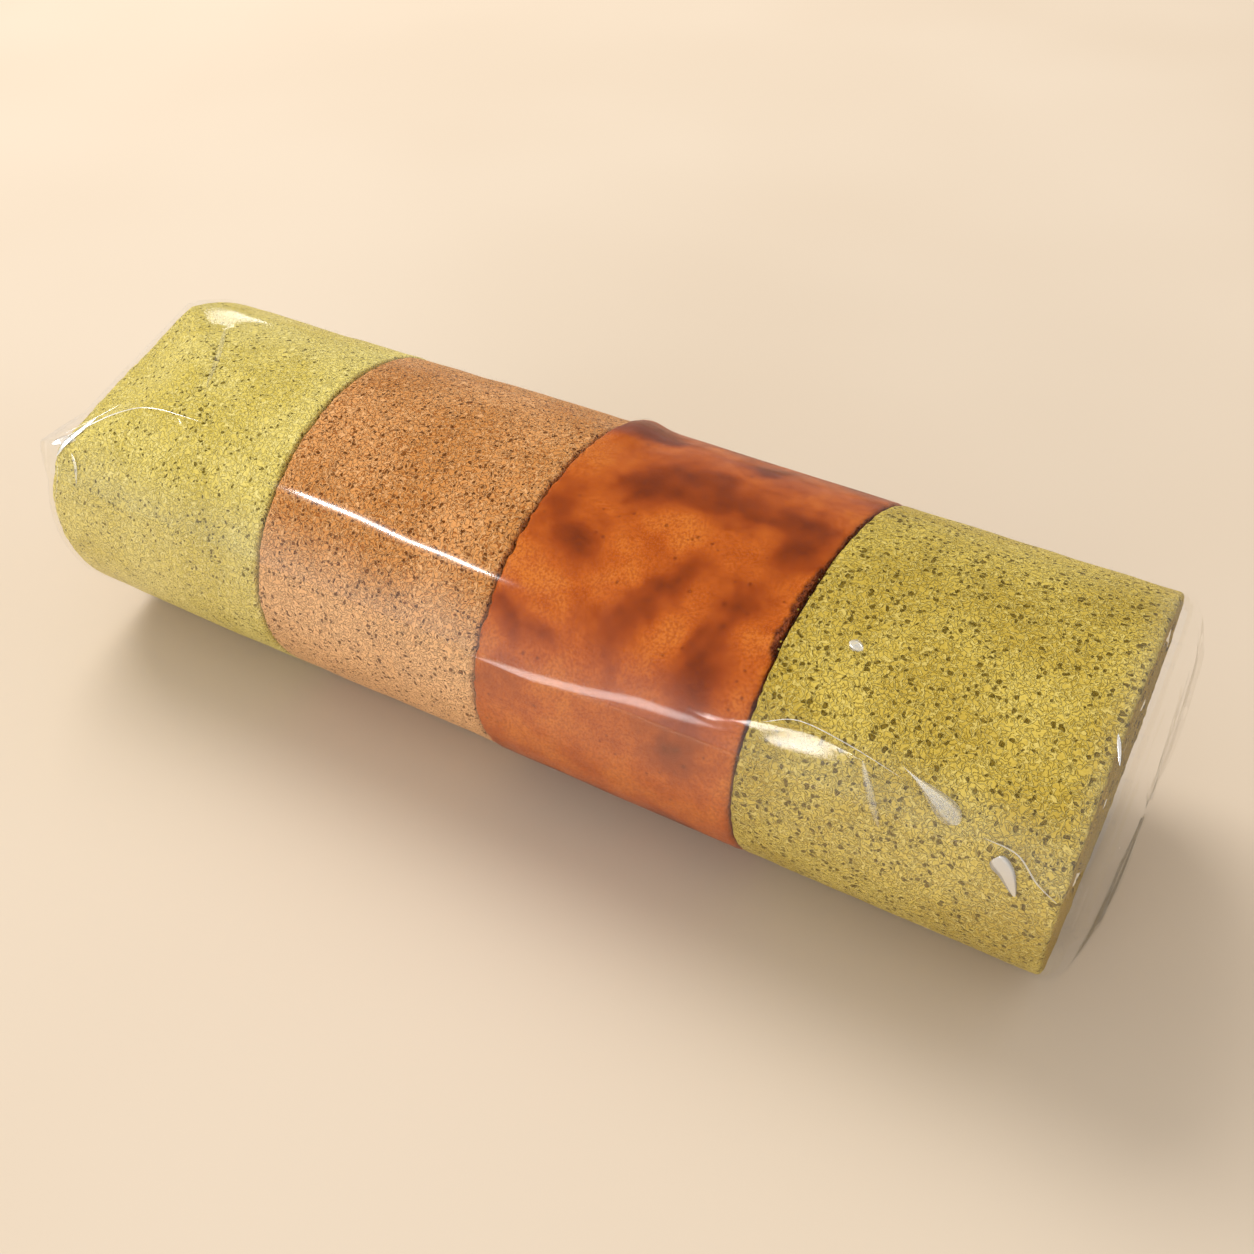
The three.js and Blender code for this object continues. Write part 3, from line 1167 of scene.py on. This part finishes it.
@dataclass(kw_only=True)
class ClearWrap(Assembly):
    """Thin clear film round the log, pleated and gathered over both ends."""

    gap: float = 0.55
    thickness: float = 0.12
    mouth: float = 0.05
    gather_height: float = 34.0
    ear_angle: float = math.radians(-58)
    ear_reach: float = 4.6
    ear_width: float = 0.24
    pleat_count: int = 26
    pleat_depth: float = 1.1
    slack_angles: tuple[float, float] = (math.radians(48), math.radians(72))
    slack_layers: float = 1.0
    columns: int = 320
    body_rows: int = 96
    end_rows: int = 26
    folds: tuple[Line, ...] = ()

    def end_profile(self, side: Side) -> tuple[np.ndarray, np.ndarray]:
        """How far past the cut the film lies, against the share of the section left.

        Args:
            side: Which end of the log. The film lies tighter over the left-hand one.

        Returns:
            Distances in millimetres and shares.
        """
        if side is Side.LEFT:
            past = np.array([0.6, 1.5, 3.0, 5.0, 7.0, 8.6, 9.4])
            share = np.array([1.0, 0.96, 0.87, 0.71, 0.5, 0.26, self.mouth])
        else:
            past = np.array([0.8, 2.6, 4.9, 6.6, 7.4, 7.8, 8.0])
            share = np.array([1.0, 0.98, 0.9, 0.74, 0.5, 0.26, self.mouth])
        even = np.linspace(0, 1, past.size)
        fine = np.linspace(0, 1, self.end_rows)
        return np.interp(fine, even, past), np.interp(fine, even, share)

    def pleats(self, t: np.ndarray, side: Side) -> np.ndarray:
        """Ridges that run in to the gather, each with its own width and height.

        Args:
            t: Angles round the section.
            side: Which end of the log.

        Returns:
            Heights from about minus one to one.
        """
        rng = np.random.default_rng(40 + side.value)
        total = np.zeros_like(t)
        for _ in range(self.pleat_count):
            middle = rng.uniform(-math.pi, math.pi)
            width = rng.uniform(0.035, 0.11)
            away = (t - middle + math.pi) % TURN - math.pi
            total += rng.uniform(0.3, 1.0) * rng.choice((-1, 1)) * bell(away, width)
        return total

    def ear(self, t: np.ndarray, share: np.ndarray) -> np.ndarray:
        """How strongly the film stands out in a corner, from nought to one.

        Args:
            t: Angles round the section.
            share: Shares of the section left.

        Returns:
            One at the tip of the corner.
        """
        away = np.abs(t - self.ear_angle)
        return np.clip(1 - away / self.ear_width, 0, 1) * ramp(share, 0.6, 0.98)

    def body(self, grow: float, floor: float) -> np.ndarray:
        """Lay one face of the film's wall along the log, with its folds.

        Args:
            grow: How far outside the sponge it lies, in millimetres.
            floor: The lowest height that it reaches.

        Returns:
            Points for each row and column.
        """
        t = SECTION.even_angles(self.columns)[None, :]
        even = np.linspace(-1, 1, self.body_rows)
        x = LOG_LENGTH / 2 * (even + 0.1 * np.sin(math.pi * even))[:, None]
        raised = np.zeros(np.broadcast(t, x).shape)
        for fold in self.folds:
            raised = raised + fold.height * fold.near(t, x)
        still = SECTION.place(t, x, grow, 0.0, floor)
        slack = 0.09 * grain(still, 15.0, 5.0) + 0.03 * grain(still * (0.3, 1, 1), 6.0, 11.0)
        raised = raised + self.ear(t, 1.0 + 0 * t) * bell(x + LOG_LENGTH / 2, 7.0)
        return SECTION.place(t, x, grow + raised + slack, 0.0, floor)

    def end(self, side: Side, grow: float, floor: float, sunk: float) -> np.ndarray:
        """Lay one face of the film's wall over an end of the log.

        Args:
            side: Which end of the log.
            grow: How far outside the sponge it lies, in millimetres.
            floor: The lowest height that it reaches.
            sunk: How far inside the film's outer face it lies at the gather.

        Returns:
            Points for each row and column, from the cut to the gather.
        """
        t = SECTION.even_angles(self.columns)[None, :]
        past, share = (part[:, None] for part in self.end_profile(side))
        ear = self.ear(t, share) * (side is Side.LEFT)
        reach = LOG_LENGTH / 2 + past + self.ear_reach * ear
        edge = SECTION.place(t, side.value * reach, grow + ear, 0.0, floor)
        gathered = np.clip((1 - share) * 4, 0, 1) * np.clip(share * 3, 0.35, 1)
        pleat = self.pleat_depth * self.pleats(t, side) * gathered
        edge[..., 0] += side.value * (pleat - sunk * (1 - share))
        edge[..., 1] *= share
        edge[..., 2] = self.gather_height + (edge[..., 2] - self.gather_height) * share
        return edge

    def wall(self, grow: float, floor: float, sunk: float) -> np.ndarray:
        """Lay one face of the film's wall, from the left mouth to the right.

        Args:
            grow: How far outside the sponge it lies, in millimetres.
            floor: The lowest height that it reaches.
            sunk: How far inside the film's outer face it lies at the gathers.

        Returns:
            Points for each row and column.
        """
        left = self.end(Side.LEFT, grow, floor, sunk)[::-1]
        right = self.end(Side.RIGHT, grow, floor, sunk)
        return np.concatenate([left, self.body(grow, floor), right], axis=0)

    def build(self) -> bpy.types.Object:
        """Model the film as one thin closed wall.

        Returns:
            The film's object.
        """
        outside = self.wall(self.gap + self.thickness, 0.0, 0.0)
        inside = self.wall(self.gap, self.thickness, self.thickness)
        points = np.concatenate([outside, inside[::-1], outside[:1]], axis=0)
        beyond = ramp(np.abs(points[..., 0]), LOG_LENGTH / 2 - 7, LOG_LENGTH / 2 + 2)
        turned = np.abs(SECTION.even_angles(self.columns))[None, :]
        slack = ramp(turned + 0.12 * grain(points, 22.0, 3.0), *self.slack_angles)
        layers = np.maximum(beyond, self.slack_layers * slack)
        return wrapped("film_sleeve", points, {"gather": layers}, poles=False)


@dataclass(kw_only=True)
class FilmCrease(Assembly):
    """A sharp crease in the film, where it is doubled over along a line."""

    name: str
    line: Line
    white: float
    lift: float = 0.72
    steps: int = 90
    around: int = 6

    def build(self) -> bpy.types.Object:
        """Model the crease as one slim closed strip that thins out at both tips.

        Returns:
            The crease's object.
        """
        share = np.linspace(0, 1, self.steps + 1)
        route = self.line.trace(share)
        t = np.radians(route[:, 1])
        middle = SECTION.place(t, route[:, 0], self.lift)
        above = SECTION.place(t, route[:, 0], self.lift + 1.0) - middle
        above /= np.linalg.norm(above, axis=-1, keepdims=True)
        ahead = np.gradient(middle, axis=0)
        across = np.cross(ahead, above)
        across /= np.linalg.norm(across, axis=-1, keepdims=True)
        lean = math.log(0.5) / math.log(self.line.widest)
        taper = np.sin(math.pi * share**lean)[:, None, None] ** 0.6
        turn = np.linspace(0, TURN, self.around + 1)[None, :, None]
        wide = self.line.width * np.cos(turn) * across[:, None, :]
        high = self.line.height * np.sin(turn) * above[:, None, :]
        points = middle[:, None, :] + taper * (wide + high)
        return wrapped(self.name, points, {"fold": np.full(points.shape[:-1], self.white)})


@dataclass(kw_only=True)
class Crumbs(Assembly):
    """Loose crumbs caught along the torn edge."""

    count: int = 9
    seed: int = 5
    middle_x: float = 70.9
    skew: float = 2.2
    spread: tuple[float, float] = (-1.3, 0.4)
    degrees: tuple[float, float] = (-44.0, -8.0)
    radius: tuple[float, float] = (0.16, 0.32)
    sunk: float = 0.35
    lumpiness: float = 0.12

    def build(self) -> bpy.types.Object:
        """Model the crumbs as one piece of many small uneven lumps.

        Returns:
            The crumbs' object.
        """
        rng = np.random.default_rng(self.seed)
        bm = bmesh.new()
        for _ in range(self.count):
            t = math.radians(rng.uniform(*self.degrees))
            x = self.middle_x + rng.uniform(*self.spread) + self.skew * math.sin(t)
            spot = SECTION.place(t, x, -self.sunk) * MM
            size = rng.uniform(*self.radius) * MM
            turn = Matrix.Rotation(rng.uniform(0, TURN), 4, Vector(rng.normal(size=3)).normalized())
            squash = Matrix.Diagonal((1.0, rng.uniform(0.6, 1.0), rng.uniform(0.5, 0.9), 1.0))
            place = Matrix.Translation(Vector(spot)) @ turn @ squash
            made = bmesh.ops.create_icosphere(bm, subdivisions=1, radius=size, matrix=place)
            for vert in made["verts"]:
                vert.co += Vector(rng.normal(size=3)) * size * self.lumpiness
        return smoothed(bm, bpy.data.meshes.new("torn_edge_crumbs"))


@dataclass(frozen=True)
class Softbox:
    """A soft area light, with its place, aim and size in metres and its power in watts."""

    name: str
    at: tuple[float, float, float]
    aim: tuple[float, float, float]
    size: tuple[float, float]
    power: float

    def hang(self) -> bpy.types.Object:
        """Hang the light.

        Returns:
            The light.
        """
        data = bpy.data.lights.new(self.name, "AREA")
        data.shape = "RECTANGLE"
        data.size, data.size_y = self.size
        data.energy = self.power
        light = placed(self.name, data)
        light.location = self.at
        way = Vector(self.aim) - Vector(self.at)
        light.rotation_euler = way.to_track_quat("-Z", "Y").to_euler()
        return light


CAKE_MIDDLE = (0.0, 0.0, 0.04)
CAKE_FOOT = (0.0, 0.0, 0.02)
SOFTBOXES = (
    Softbox("key_light", (-1.3, 0.8, 1.8), CAKE_MIDDLE, (1.4, 1.2), 43.0),
    Softbox("low_fill_light", (-0.1, -1.5, 0.3), CAKE_FOOT, (1.6, 0.5), 15.0),
)


@dataclass(frozen=True)
class Glint:
    """A stretch of the film that mirrors a small light."""

    name: str
    start: tuple[float, float]
    end: tuple[float, float]
    breadth: float
    power: float


GLINTS = (
    Glint("long_strip_light", (-56.0, -44.2), (-4.0, -47.5), 0.003, 2.4),
    Glint("low_strip_light", (4.0, -74.2), (60.0, -65.0), 0.03, 0.07),
    Glint("window_light", (68.0, -64.0), (80.0, -61.0), 0.06, 0.15),
    Glint("left_window_light", (-125.0, 8.0), (-119.5, 20.0), 0.02, 0.07),
)


@dataclass
class Studio:
    """The camera, a pale floor and soft lights."""

    floor_size: float = 6.0
    floor_drop: float = 0.0002
    streak_away: float = 0.5
    room: Colour = (1.0, 0.97, 0.93, 1.0)
    room_strength: float = 0.8

    def camera(self) -> None:
        """Stand the camera where the photograph was taken from."""
        data = bpy.data.cameras.new("camera")
        data.sensor_width = SENSOR_MM
        data.lens = FOCAL_PX / PHOTO_WIDTH_PX * SENSOR_MM
        data.clip_start = 0.01
        camera = placed("camera", data)
        turn = Matrix(CAMERA_AXES).to_4x4()
        camera.matrix_world = Matrix.Translation(Vector(CAMERA_MM) * MM) @ turn
        bpy.context.scene.camera = camera

    def floor(self) -> None:
        """Lay the floor."""
        bm = bmesh.new()
        bmesh.ops.create_grid(bm, x_segments=1, y_segments=1, size=self.floor_size / 2)
        floor = smoothed(bm, bpy.data.meshes.new("floor"))
        floor.location.z = -self.floor_drop
        floor.data.materials.append(FloorFinish().make())

    def mirrored(self, x: float, degrees: float) -> Vector:
        """Where a light has to hang for its glint to show at a point of the log.

        Args:
            x: The point's place along the log, in millimetres.
            degrees: The point's angle from the crown.

        Returns:
            The light's place, in metres.
        """
        t = np.radians([degrees - 0.5, degrees, degrees + 0.5])
        before, here, after = (Vector(point) for point in SECTION.place(t, np.full(3, x)))
        normal = (after - before).normalized().cross(Vector((-1, 0, 0))).normalized()
        if normal.y > 0:
            normal.negate()
        sight = (Vector(CAMERA_MM) - here).normalized()
        bounce = 2 * normal.dot(sight) * normal - sight
        return here * MM + bounce * self.streak_away

    def hang_glint(self, glint: Glint) -> None:
        """Hang the small light whose glint shows along a stretch of the film.

        Args:
            glint: The stretch and the light's breadth and power.
        """
        start, end = self.mirrored(*glint.start), self.mirrored(*glint.end)
        middle = (start + end) / 2
        size = ((end - start).length, glint.breadth)
        light = Softbox(glint.name, tuple(middle), CAKE_MIDDLE, size, glint.power).hang()
        light.visible_diffuse = False
        along = (end - start).normalized()
        point = SECTION.place(math.radians(glint.start[1]), (glint.start[0] + glint.end[0]) / 2)
        back = (middle - Vector(point) * MM).normalized()
        across = back.cross(along).normalized()
        back = along.cross(across).normalized()
        light.rotation_euler = Matrix((along, across, back)).transposed().to_euler()

    def world(self) -> None:
        """Fill the room with even pale light."""
        world = bpy.data.worlds.new("room")
        world.use_nodes = True
        sky = world.node_tree.nodes["Background"]
        sky.inputs["Color"].default_value = self.room
        sky.inputs["Strength"].default_value = self.room_strength
        bpy.context.scene.world = world
        bpy.context.scene.view_settings.view_transform = "Standard"

    def build(self) -> None:
        """Set up everything round the object."""
        self.camera()
        self.floor()
        self.world()
        for softbox in SOFTBOXES:
            softbox.hang().visible_glossy = False
        for glint in GLINTS:
            self.hang_glint(glint)


MATCHA_LEFT = SpongeFinish(
    name="matcha_sponge_light",
    pale=shade("e8dc9a"),
    middle=shade("d6c46e"),
    deep=shade("cab65a"),
    shadow=shade("aa943c"),
    hollow=shade("645206"),
    # The cut colour holds painted shade.
    cut=shade("b89c40"),
    pore_size=1.5,
    small_reach=(-0.08, 0.3),
    large_reach=(-0.12, 0.09),
    relief=0.45,
    pore_tone=0.85,
    crack_tone=0.5,
)
MATCHA_RIGHT = SpongeFinish(
    name="matcha_sponge_open",
    pale=shade("dccb7e"),
    middle=shade("c7af52"),
    deep=shade("b59b40"),
    shadow=shade("987d2c"),
    hollow=shade("644e0c"),
    # The cut colour holds painted shade.
    cut=shade("a07a28"),
    pore_size=1.6,
    small_reach=(0.03, 0.36),
    large_reach=(-0.08, 0.14),
    relief=0.55,
    pore_tone=0.88,
    crack_tone=0.62,
)
COFFEE = SpongeFinish(
    name="coffee_sponge",
    pale=shade("ecbc88"),
    middle=shade("d0945a"),
    deep=shade("c08246"),
    shadow=shade("9c5c2a"),
    # The cut colour holds painted shade.
    hollow=shade("6a380c"),
    cut=shade("b67c42"),
    pore_size=1.45,
    small_reach=(0.02, 0.33),
    large_reach=(-0.1, 0.11),
    relief=0.6,
    pore_tone=0.9,
    crack_tone=1.0,
)
TIGER = TigerSkinFinish(
    name="tiger_skin_browned",
    amber=shade("bc6824"),
    orange=shade("ac5418"),
    toasted=shade("883a0e"),
    burnt=shade("5e240a"),
    bare=shade("8a4624"),
    bare_deep=shade("522410"),
)
BLOTCHES = (
    Blotch(5.0, 27.0, 7.0, 9.0, 0.0, 0.8),
    Blotch(23.0, -3.0, 10.0, 7.0, 10.0, 0.75),
    Blotch(30.0, 9.0, 14.0, 5.0, 0.0, 0.5),
    Blotch(47.0, -1.0, 17.0, 5.0, 8.0, 0.65),
    Blotch(62.0, -3.0, 9.0, 6.0, 0.0, 0.5),
    Blotch(12.0, -27.0, 13.0, 6.0, -40.0, 0.7),
    Blotch(33.0, -21.0, 4.5, 3.5, 0.0, 0.4),
    Blotch(43.0, -27.0, 7.5, 6.0, 50.0, 0.65),
    Blotch(39.0, -41.0, 8.5, 5.0, 60.0, 0.7),
    Blotch(63.5, -10.5, 5.0, 4.5, 0.0, 0.6),
    Blotch(56.0, -38.0, 10.0, 4.5, 70.0, 0.55),
    Blotch(57.0, -56.0, 12.0, 7.0, 70.0, 0.95),
    Blotch(60.0, -80.0, 9.0, 7.0, 0.0, 0.6),
    Blotch(41.0, -77.0, 11.0, 6.0, 20.0, 0.5),
    Blotch(22.0, -56.0, 9.0, 6.0, 0.0, 0.45),
    Blotch(7.0, -58.0, 7.0, 6.0, 30.0, 0.45),
)
LEFT_CREASE = Line(
    ((-113.0, -3.0), (-103.0, -22.0), (-94.0, -40.0), (-85.0, -66.0), (-78.5, -87.0)),
    width=1.5,
    height=0.0,
    pores=34,
)
FILM_FOLDS = (
    Line(((-141.0, -58.0), (-126.0, -41.0), (-114.0, -35.0), (-104.0, -33.0)), 2.6, 0.8),
    Line(((-137.0, -66.0), (-128.0, -56.0), (-118.0, -50.0)), 5.0, -0.3),
    Line(((-117.0, 4.0), (-107.5, -11.0), (-101.5, -24.0)), 2.6, 0.5),
    Line(((122.0, -67.0), (129.0, -68.0), (134.0, -74.0), (139.0, -77.0)), 2.2, 0.5),
    Line(((68.0, -60.0), (80.0, -55.0), (91.0, -56.0), (102.5, -59.0)), 2.4, 0.25),
)


def crease(
    white: float, width: float, *stops: tuple[float, float], height: float = 0.1, widest: float = 0.5
) -> tuple[Line, float]:
    """Describe a sharp crease of the film.

    Args:
        white: How strongly it shines, where about five is a full mirror.
        width: Its half width in millimetres.
        *stops: Places along the log and angles in degrees that it runs through.
        height: Its half height in millimetres.
        widest: How far along it is widest, as a share of its length.

    Returns:
        The crease's line and its shine.
    """
    return Line(stops, width, height, widest=widest), white


FILM_CREASES = (
    crease(1.8, 0.2, (-141.5, -57.2), (-134.5, -49.2), (-125.8, -40.2), (-114.2, -34.5), (-97.0, -33.2)),
    crease(1.2, 0.15, (-141.0, -54.0), (-133.5, -44.8), (-127.5, -36.5)),
    crease(0.7, 0.18, (-138.0, -60.5), (-137.0, -71.0), (-138.0, -82.0), (-137.0, -92.0)),
    crease(0.9, 1.2, (-141.8, -58.2), (-138.5, -55.5), (-133.5, -53.5), height=0.12),
    crease(2.2, 0.8, (-138.5, -61.5), (-136.2, -54.0), (-133.0, -44.5)),
    crease(1.0, 0.6, (-133.5, -58.5), (-131.0, -62.5), (-129.5, -69.0), height=0.08),
    crease(0.22, 0.8, (-118.0, 6.0), (-109.0, -8.0), (-102.5, -23.0)),
    crease(2.0, 0.22, (122.2, -66.5), (129.2, -67.5), (134.4, -73.5), (139.0, -77.0)),
    crease(1.8, 0.15, (72.0, -59.0), (79.5, -54.8), (91.0, -56.0), (104.0, -59.4)),
    crease(2.6, 0.4, (138.6, -29.5), (139.6, -32.5), (141.0, -37.0)),
    crease(0.4, 1.0, (94.8, -58.5), (98.5, -67.0), (102.0, -76.0), height=0.06),
    crease(0.8, 2.6, (102.0, -55.6), (109.5, -60.0), (117.0, -65.4), height=0.06, widest=0.8),
    crease(2.6, 2.1, (125.4, -70.9), (128.3, -74.0), (131.2, -80.4), height=0.02, widest=0.25),
    crease(1.4, 1.3, (83.0, -30.2), (84.6, -30.6), (86.4, -31.2)),
)
SKIN_BUMPS = (
    Line(((3.5, 40.0), (5.0, 28.0), (6.5, 16.0)), 4.2, 1.3),
    Line(((15.0, 32.0), (16.0, 18.0)), 4.5, -0.7),
)

LEFT_END = Cut(at=-LOG_LENGTH / 2, skew=0.0, ragged=0.5, exposed=True)
FIRST_CUT = Cut(at=-69.4, skew=-3.2, ragged=0.55, exposed=False)
SECOND_CUT = Cut(at=0.9, skew=0.0, ragged=0.9, exposed=False)
THIRD_CUT = Cut(at=70.8, skew=2.2, ragged=0.35, exposed=False)
RIGHT_END = Cut(at=LOG_LENGTH / 2, skew=0.0, ragged=0.5, exposed=True)


def after(cut: Cut) -> Cut:
    """The same cut, seen by the roll to its right, past the gap."""
    return Cut(cut.at + JOINT_GAP, cut.skew, cut.ragged, cut.exposed)


ROLLS = (
    SpongeRoll(
        node="matcha_roll_left",
        slot="matcha_sponge",
        finish=MATCHA_LEFT,
        surface=Surface.POROUS,
        left=LEFT_END,
        right=FIRST_CUT,
        swell=0.0,
        seed=11,
        pores=60,
        pore_radius=(0.45, 0.65),
        creases=(LEFT_CREASE,),
    ),
    SpongeRoll(
        node="coffee_roll",
        slot="coffee_sponge",
        finish=COFFEE,
        surface=Surface.POROUS,
        left=after(FIRST_CUT),
        right=SECOND_CUT,
        swell=-0.004,
        seed=23,
        pores=110,
        pore_radius=(0.45, 0.7),
        # Painted haze of reflected light low down on this roll.
        haze_strength=0.5,
    ),
    SpongeRoll(
        node="tiger_skin_roll",
        slot="tiger_skin",
        finish=TIGER,
        surface=Surface.SKIN,
        left=after(SECOND_CUT),
        right=THIRD_CUT,
        swell=0.004,
        seed=37,
        pores=300,
        pore_radius=(0.4, 0.8),
        dents=SKIN_BUMPS,
        browning=Browning(BLOTCHES),
        tear=Tear(),
    ),
    SpongeRoll(
        node="matcha_roll_right",
        slot="matcha_sponge",
        finish=MATCHA_RIGHT,
        surface=Surface.POROUS,
        left=after(THIRD_CUT),
        right=RIGHT_END,
        swell=0.0,
        seed=53,
        pores=220,
        pore_radius=(0.45, 0.75),
    ),
)


def pieces() -> list[Assembly]:
    """List the cake's sub-assemblies in the order in which they are built."""
    cream = CreamFilling(finish=CreamFinish(), slot="cream", node="cream_filling")
    film = {"finish": FilmFinish(), "slot": "clear_film", "node": "clear_wrap"}
    wrap = ClearWrap(folds=(*FILM_FOLDS, SKIN_BUMPS[0]), **film)
    creases = [
        FilmCrease(name=f"film_crease_{number}", line=line, white=white, **film)
        for number, (line, white) in enumerate(FILM_CREASES, 1)
    ]
    crumbs = Crumbs(finish=MATCHA_RIGHT, slot="matcha_sponge")
    return [*ROLLS, cream, wrap, *creases, crumbs]


def main() -> None:
    """Build the cake, its film and the studio, in that order."""
    logging.basicConfig(level=logging.INFO, format="%(message)s")
    for assembly in pieces():
        piece = assembly.build()
        assembly.dress(piece)
        LOG.info("%s: %d faces", piece.name, len(piece.data.polygons))
    Studio().build()


if __name__ == "__main__":
    main()
